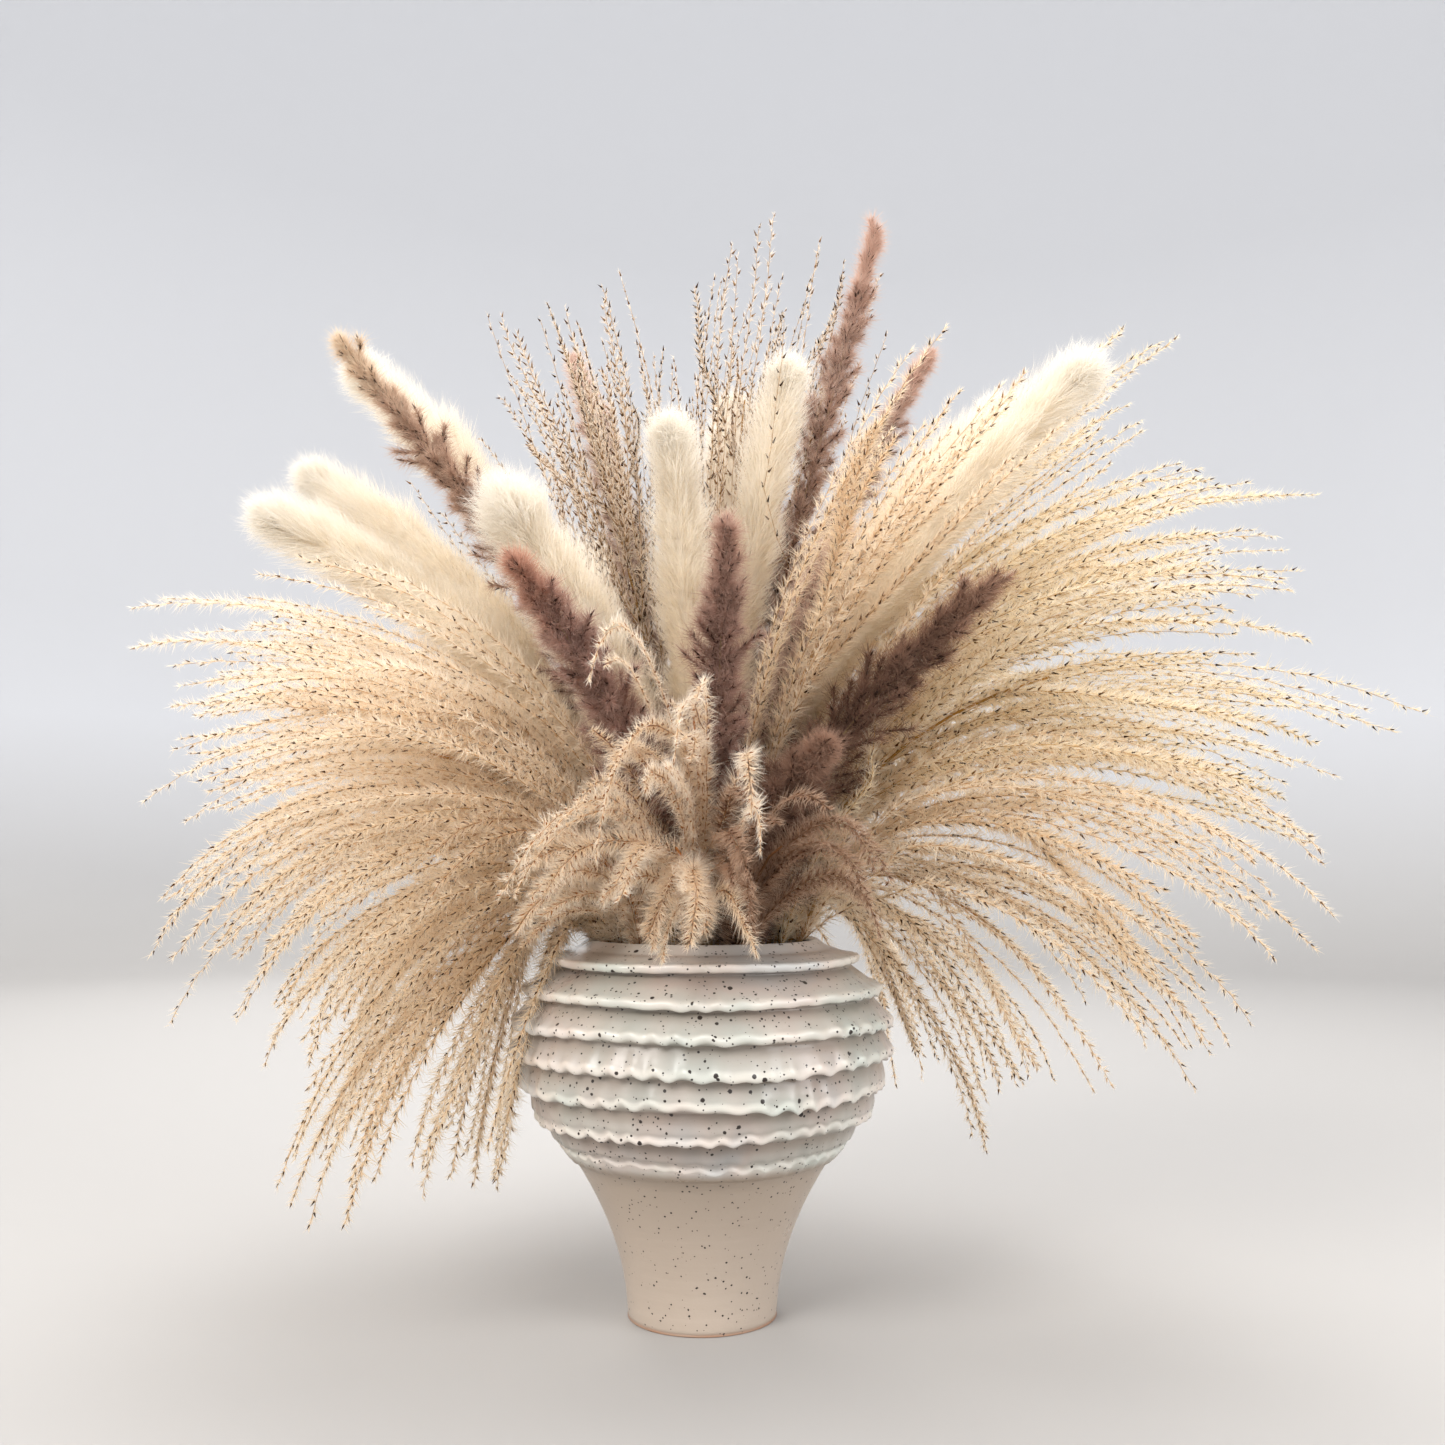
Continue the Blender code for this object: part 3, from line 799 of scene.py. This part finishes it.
def speckled_glaze():
    """Milky glaze over pinkish clay: cooler and thicker on the ribs, bare-looking on the foot, with iron speckles.
    Painted shade darkens the hollows under each rib, and a painted highlight lightens the crest edges.
    """
    made = Finish("speckled_glaze")
    where = made.node("ShaderNodeTexCoord").outputs["Object"]
    split = made.node("ShaderNodeSeparateXYZ")
    made.link(where, split.inputs[0])
    height = split.outputs[2]
    crest = made.node("ShaderNodeAttribute", attribute_name="crest").outputs["Fac"]
    cloud = made.noise(where, 26.0, 4.0)
    tint = made.noise(where, 17.0, 2.0)
    # Glaze colour by crest share. The dark end is painted shade in the hollows under each rib, and the light end is a
    # painted highlight along the crest edges.
    glaze_shade_highlight_stops = [(0.12, "#93897f"), (0.35, "#aca69f"), (0.70, "#bcb9b3"), (0.97, "#dedbd4")]
    rib_glaze_with_painted_light = made.ramp(crest, glaze_shade_highlight_stops)
    hues = made.ramp(tint, [(0.34, "#d9e3df"), (0.46, "#f3efe9"), (0.54, "#f6e9e4"), (0.66, "#dfe4ea")])
    rib_glaze_with_painted_light = made.mix(0.8, rib_glaze_with_painted_light, hues, "MULTIPLY")
    foot_stops = [(0.0, "#bfaf9f"), (0.5, "#b7a797"), (0.9, "#a99988")]
    foot_colour = made.ramp(made.math("MULTIPLY", height, 10.0), foot_stops)
    streak = made.node("ShaderNodeMapping")
    streak.inputs["Scale"].default_value = (6.0, 6.0, 90.0)
    made.link(where, streak.inputs["Vector"])
    rings = made.noise(streak.outputs[0], 1.6, 3.0)
    foot_colour = made.mix(made.math("MULTIPLY", rings, 0.30), foot_colour, "#a39281")
    on_ribs = made.math("MULTIPLY_ADD", height, GLAZE_EDGE, -GLAZE_LINE * GLAZE_EDGE, clamp=True)
    colour = made.mix(on_ribs, foot_colour, rib_glaze_with_painted_light)
    colour = made.mix(made.math("MULTIPLY", cloud, 0.22), colour, "#aaa199")
    base_line = made.math("SUBTRACT", 1.0, made.math("MULTIPLY", height, 520.0, clamp=True), clamp=True)
    base_line = made.math("MULTIPLY", base_line, made.math("MULTIPLY", cloud, 1.3))
    colour = made.mix(base_line, colour, "#a8642f")
    turned = made.node("ShaderNodeMapping")
    turned.inputs["Rotation"].default_value = (0.62, 0.41, 0.93)
    made.link(where, turned.inputs["Vector"])
    for scale, rarity, growth in ((440.0, 0.42, 0.58), (230.0, 0.80, 1.45)):
        wobble = made.node("ShaderNodeVectorMath", operation="ADD")
        shift = made.node("ShaderNodeTexNoise")
        made.link(where, shift.inputs["Vector"])
        shift.inputs["Scale"].default_value = 900.0
        small = made.node("ShaderNodeVectorMath", operation="SCALE")
        small.inputs["Scale"].default_value = 0.00055
        made.link(shift.outputs["Color"], small.inputs[0])
        made.link(turned.outputs[0], wobble.inputs[0])
        made.link(small.outputs[0], wobble.inputs[1])
        cells = made.node("ShaderNodeTexVoronoi")
        made.link(wobble.outputs[0], cells.inputs["Vector"])
        cells.inputs["Scale"].default_value = scale
        pick = made.node("ShaderNodeSeparateColor")
        made.link(cells.outputs["Color"], pick.inputs[0])
        limit = made.math("MULTIPLY_ADD", on_ribs, -0.10, rarity + 0.06)
        size = made.math("MULTIPLY", made.math("SUBTRACT", pick.outputs[0], limit, clamp=True), growth)
        spot = made.math("MULTIPLY", made.math("SUBTRACT", size, cells.outputs["Distance"]), 18.0, clamp=True)
        colour = made.mix(spot, colour, "#2a211d")
    made.link(colour, made.shader.inputs["Base Color"])
    made.link(made.math("MULTIPLY_ADD", cloud, 0.22, 0.20), made.shader.inputs["Roughness"])
    made.shader.inputs["Specular IOR Level"].default_value = 0.5
    ripple = made.noise(where, 210.0, 2.0)
    relief = made.math("ADD", made.math("MULTIPLY", rings, 0.9), made.math("MULTIPLY", ripple, 0.35))
    bump = made.node("ShaderNodeBump")
    bump.inputs["Strength"].default_value = 0.35
    bump.inputs["Distance"].default_value = 0.0010
    made.link(relief, bump.inputs["Height"])
    made.link(bump.outputs[0], made.shader.inputs["Normal"])
    return made.material


# ---------------------------------------------------------------- floor and light


FLOOR_SIDES = 96
FLOOR_RADIUS = 2.4
CURVE_RADIUS, CURVE_STEPS = 0.9, 8
WALL_HEIGHT = 2.6


def make_bowl():
    """A round studio floor that curves up into a pale wall on every side."""
    bpy.ops.object.select_all(action="DESELECT")
    bpy.ops.mesh.primitive_circle_add(
        vertices=FLOOR_SIDES, radius=FLOOR_RADIUS, fill_type="NGON", location=(0, 0, 0)
    )
    bowl = bpy.context.object
    bowl.name = "studio_bowl"
    bpy.ops.object.mode_set(mode="EDIT")
    bpy.ops.mesh.select_mode(type="EDGE")
    bpy.ops.mesh.select_all(action="DESELECT")
    bpy.ops.object.mode_set(mode="OBJECT")
    for edge in bowl.data.edges:
        edge.select = True
    bpy.ops.object.mode_set(mode="EDIT")
    radius, height = FLOOR_RADIUS, 0.0
    for step in range(1, CURVE_STEPS + 1):
        turn = step * math.pi / (2 * CURVE_STEPS)
        wider, higher = FLOOR_RADIUS + CURVE_RADIUS * math.sin(turn), CURVE_RADIUS * (1 - math.cos(turn))
        bpy.ops.mesh.extrude_edges_move(TRANSFORM_OT_translate={"value": (0, 0, higher - height)})
        bpy.ops.transform.resize(value=(wider / radius, wider / radius, 1), center_override=(0, 0, higher))
        radius, height = wider, higher
    bpy.ops.mesh.extrude_edges_move(TRANSFORM_OT_translate={"value": (0, 0, WALL_HEIGHT)})
    bpy.ops.mesh.select_all(action="SELECT")
    bpy.ops.mesh.normals_make_consistent(inside=True)
    bpy.ops.object.mode_set(mode="OBJECT")
    bpy.ops.object.shade_smooth()
    made = Finish("pale_wall")
    where = made.node("ShaderNodeTexCoord").outputs["Object"]
    split = made.node("ShaderNodeSeparateXYZ")
    made.link(where, split.inputs[0])
    shades = made.ramp(split.outputs[2], [(0.0, "#a5a29f"), (0.12, "#aeacaa"), (0.6, "#cbcccf")])
    made.link(shades, made.shader.inputs["Base Color"])
    made.shader.inputs["Roughness"].default_value = 0.9
    bowl.data.materials.append(made.material)


def add_light(name, place, aim, size, power, colour):
    """A large soft panel turned towards a point."""
    place = Vector(place)
    lamp = bpy.data.lights.new(name, "AREA")
    lamp.shape = "DISK"
    lamp.size = size
    lamp.energy = power
    lamp.color = colour
    holder = bpy.data.objects.new(name, lamp)
    holder.location = place
    holder.rotation_euler = (Vector(aim) - place).to_track_quat("-Z", "Y").to_euler()
    holder.visible_camera = False
    bpy.context.collection.objects.link(holder)


def light_scene():
    """Soft panels from the front left, the right and above, in a pale surround."""
    middle = (0, 0, 0.33)
    add_light("key_panel", (-1.5, -1.9, 1.9), middle, 1.6, 78, (1.0, 0.985, 0.96))
    add_light("fill_panel", (2.0, -1.3, 1.1), middle, 1.6, 36, (0.98, 0.99, 1.0))
    add_light("top_panel", (0.2, 0.5, 2.6), middle, 1.8, 46, (1.0, 1.0, 1.0))
    add_light("back_panel", (-0.6, 2.1, 1.5), middle, 1.4, 24, (1.0, 0.99, 0.97))
    surround = bpy.data.worlds.new("surround")
    surround.use_nodes = True
    sky = surround.node_tree.nodes["Background"]
    sky.inputs["Color"].default_value = (0.965, 0.975, 1.0, 1.0)
    sky.inputs["Strength"].default_value = 1.12
    bpy.context.scene.world = surround
    bpy.context.scene.view_settings.view_transform = "Standard"


# ---------------------------------------------------------------- the whole spray

STRAW = "#b39a6a"
HUSK_BROWN = "#3c241c"
WHITE_ROOTS = [(0.0, STRAW), (0.09, STRAW), (0.11, "#f0e0c4"), (0.35, "#f6ead4"), (0.99, "#f9f1e4")]
WHITE_TIPS = [(0.0, STRAW), (0.09, STRAW), (0.11, "#f8ecd8"), (0.30, "#f8eedc"), (0.60, "#f8f1e4"), (0.99, "#f8f4ec")]
BROWN_TONES = {
    "tan_topped": (["#70493e", "#966a54", "#c69f78"], ["#c0a294", "#e0c4ae", "#f8ead4"]),
    "russet": (["#6e443a", "#8b5c4e", "#9c614a"], ["#bd9c90", "#d2b4a6", "#deb59f"]),
    "dusky_pink": (["#866557", "#a37d6c", "#b28470"], ["#dcc4b4", "#e9d3c3", "#efd6c5"]),
    "plum": (["#643f38", "#805648", "#986a58"], ["#b6968a", "#cdae9f", "#dabbaa"]),
    "rose": (["#7f5a4c", "#9b7160", "#b07c66"], ["#d1b5a6", "#e1c7b6", "#ebcfbd"]),
    "chocolate": (["#44281e", "#573527", "#74503c"], ["#937564", "#ab8b78", "#c4a28d"]),
}
BROWN_PLUMES = (
    "tan_topped", "russet", "dusky_pink", "plum", "rose", "rose", "chocolate", "dusky_pink", "chocolate", "plum",
)
BROWN_LOWERED = {1: 0.3, 2: 0.5, 3: 0.6, 4: 0.7, 5: 0.4, 6: 0.5, 7: 1.0, 8: 1.0, 9: 1.05, 10: 0.8}
REED_TONES = {
    "cream": (
        ("#d3ab6c", "#e8cb94"),
        ("#3a2413", "#805a36", "#dcc096"),
        ("#fae9d0", "#fdf2e0"),
        ("#fdf3e2", "#fffaf0"),
    ),
    "tan": (
        ("#c8a268", "#debd86"),
        ("#352010", "#775130", "#d3b38a"),
        ("#f5e1c2", "#faecd6"),
        ("#faecd7", "#fdf6e8"),
    ),
    "golden": (
        ("#c0964c", "#d8b46a"),
        ("#2f1b0d", "#6a4524", "#b08a56"),
        ("#efdcb6", "#f7e9ce"),
        ("#fbf2df", "#fffaf0"),
    ),
    "misty": (
        ("#b8935a", "#ceac74"),
        ("#3a2413", "#7a5636", "#b8966c"),
        ("#e9d6bc", "#f2e3cf"),
        ("#f4e6d4", "#fbf2e5"),
    ),
    "pale": (
        ("#bd8a56", "#d2a674"),
        ("#7a4d2c", "#a6713f", "#cf9f6c"),
        ("#ebd4b4", "#f6e6cd"),
        ("#fcf0df", "#fffcf5"),
    ),
    "dusk": (
        ("#8f6a48", "#a8825e"),
        ("#4a2f1f", "#6d482f", "#94704f"),
        ("#96745e", "#b4937a"),
        ("#ccae96", "#e4ceb8"),
    ),
}
REED_KINDS = {
    "flowing": dict(hairs=24, hair_length=0.0135, cone=(14, 66), hair_width=(0.00028, 0.00050)),
    "falling": dict(
        hairs=20, hair_length=0.0130, cone=(14, 66), hair_width=(0.00028, 0.00050), spread=2.3, racemes=38
    ),
    "open": dict(hairs=28, hair_length=0.0127, husk=1.1, cone=(12, 64), racemes=23),
    "broad": dict(hairs=26, hair_length=0.0127, husk=1.1, cone=(12, 64), spread=2.3, racemes=27),
    "hanging": dict(hairs=18, hair_length=0.0110, husk=1.1, cone=(12, 60), spread=2.5, racemes=24),
    "upright": dict(hairs=12, hair_length=0.0085, husk=1.25, droop=0.3, spread=2.0, cone=(10, 54), reach=(0.52, 0.86)),
    "curled": dict(hairs=22, hair_length=0.0125, spread=1.9, racemes=17, cone=(4, 44), droop=5.0, tuft_lean=(30, 64)),
    "feathered": dict(
        hairs=20, hair_length=0.0135, spread=2.0, racemes=12, cone=(3, 40), reach=(0.6, 0.94), tuft_lean=(30, 62)
    ),
    "behind": dict(hairs=17, hair_length=0.0110, cone=(14, 62), racemes=32, reach=(0.62, 0.91)),
}
REED_HEADS = (
    [("cream", "flowing")] * 4
    + [("tan", "falling")] * 3
    + [("golden", "open")] * 3
    + [("golden", "broad")] * 2
    + [("tan", "broad")]
    + [("tan", "hanging")] * 2
    + [("misty", "upright")] * 5
    + [("tan", "open"), ("pale", "curled")]
    + [("pale", "feathered")] * 2
    + [("dusk", "feathered")]
    + [("cream", "behind"), ("tan", "behind")] * 3
    + [("golden", "behind")]
)


WHITE_COUNT = 11
WHITE_SEED, BROWN_SEED, REED_SEED = 100, 200, 300


def brown_stops(shades):
    """Colour stops along a brown plume's head, after its straw-coloured stem."""
    stem = [(0.0, STRAW), (0.05, STRAW), (0.054, HUSK_BROWN), (0.065, HUSK_BROWN)]
    return [*stem, (0.11, shades[0]), (0.50, shades[1]), (0.74, shades[1]), (0.95, shades[2])]


def main():
    place_camera()
    make_vase(speckled_glaze())
    white = soft_finish("white_plume", WHITE_ROOTS, WHITE_TIPS, WHITE_THROUGH)
    for number in range(1, WHITE_COUNT + 1):
        white_plume(f"white_plume_{number:02d}", white, WHITE_SEED + number)
    brown = {
        tone: soft_finish(f"brown_plume_{tone}", brown_stops(roots), brown_stops(tips), BROWN_THROUGH)
        for tone, (roots, tips) in BROWN_TONES.items()
    }
    for number, tone in enumerate(BROWN_PLUMES, 1):
        brown_plume(f"brown_plume_{number:02d}", brown[tone], BROWN_SEED + number, BROWN_LOWERED[number])
    reeds = {tone: reed_finish(f"reed_grass_{tone}", *shades) for tone, shades in REED_TONES.items()}
    for number, (tone, kind) in enumerate(REED_HEADS, 1):
        reed_head(f"reed_head_{number:02d}", reeds[tone], REED_SEED + number, **REED_KINDS[kind])
    make_bowl()
    light_scene()


main()
